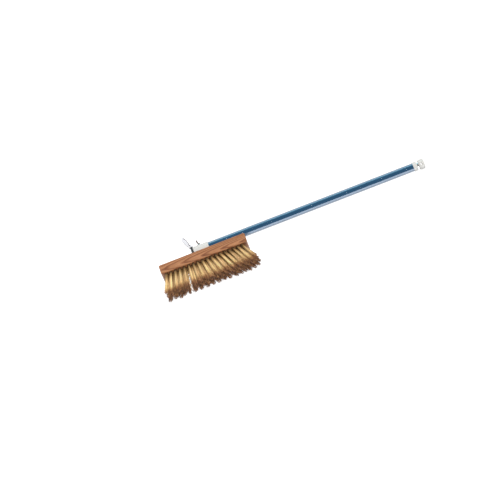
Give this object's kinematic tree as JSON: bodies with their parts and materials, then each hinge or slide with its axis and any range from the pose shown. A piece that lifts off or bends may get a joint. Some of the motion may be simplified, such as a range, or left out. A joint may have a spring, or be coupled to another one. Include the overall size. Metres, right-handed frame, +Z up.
{
  "type": "pool wall brush",
  "caption": "Wooden-backed scrub brush with flared rows of stiff golden bristles on a swivelling bracket and a telescopic blue pole, lying flat.",
  "frame": {"origin": "on the floor, under the middle of the lying brush's bounding box", "axes": "+X along the pole from the head to the knob, +Z up; the bristles point up and towards -Y"},
  "size_m": [0.8288, 0.1622, 0.0986],
  "materials": {
    "wood": "clear-varnished hardwood, satin",
    "bristle": "coarse stiff filament, matte, darker tips",
    "black_steel": "black, satin",
    "zinc": "zinc plated",
    "white_nylon": "moulded, satin",
    "black_nylon": "moulded, matte",
    "blue_anodised": "blue anodised, satin gloss",
    "aluminium": "mill finish"
  },
  "bodies": {
    "head": {"brush_block": "wood", "bristle_row_1": "bristle", "bristle_row_2": "bristle", "bristle_row_3": "bristle", "bristle_row_4": "bristle", "bristle_row_5": "bristle", "swivel_plate": "black_steel", "plate_screw_1": "zinc", "plate_screw_2": "zinc", "plate_screw_3": "zinc", "plate_screw_4": "zinc", "swivel_bolt": "zinc", "swivel_washer": "black_nylon"},
    "lever": {"swivel_lever": "white_nylon"},
    "clamp": {"clamp_lever": "zinc"},
    "pole": {"pole_socket": "white_nylon", "swivel_sleeve": "black_steel", "clamp_bolt": "zinc", "clamp_washer": "zinc", "outer_tube": "blue_anodised", "tube_end_plug": "black_nylon", "guide_bushing": "white_nylon"},
    "inner_section": {"inner_tube": "aluminium", "lock_core": "black_nylon", "end_knob": "white_nylon"},
    "cam": {"lock_cam": "white_nylon"}
  },
  "joints": [
    {"name": "pole_swivel", "type": "hinge", "parent": "head", "child": "pole", "pos_m": [-0.3004, 0.00362, 0.03127], "axis": [0, -0.866, 0.5], "continuous": true},
    {"name": "lever_turn", "type": "hinge", "parent": "head", "child": "lever", "pos_m": [-0.3004, 0.00362, 0.03127], "axis": [0, 0.866, -0.5], "continuous": true},
    {"name": "clamp_turn", "type": "hinge", "parent": "pole", "child": "clamp", "pos_m": [-0.2754, 0.00362, 0.03127], "axis": [0, 0.866, -0.5], "continuous": true},
    {"name": "pole_extend", "type": "slide", "parent": "pole", "child": "inner_section", "axis": [1, 0, 0], "range_m": [0, 0.5]},
    {"name": "lock_turn", "type": "hinge", "parent": "inner_section", "child": "cam", "pos_m": [-0.2744, 0.03109, 0.01645], "axis": [1, 0, 0], "range_deg": [0, 70]}
  ]
}
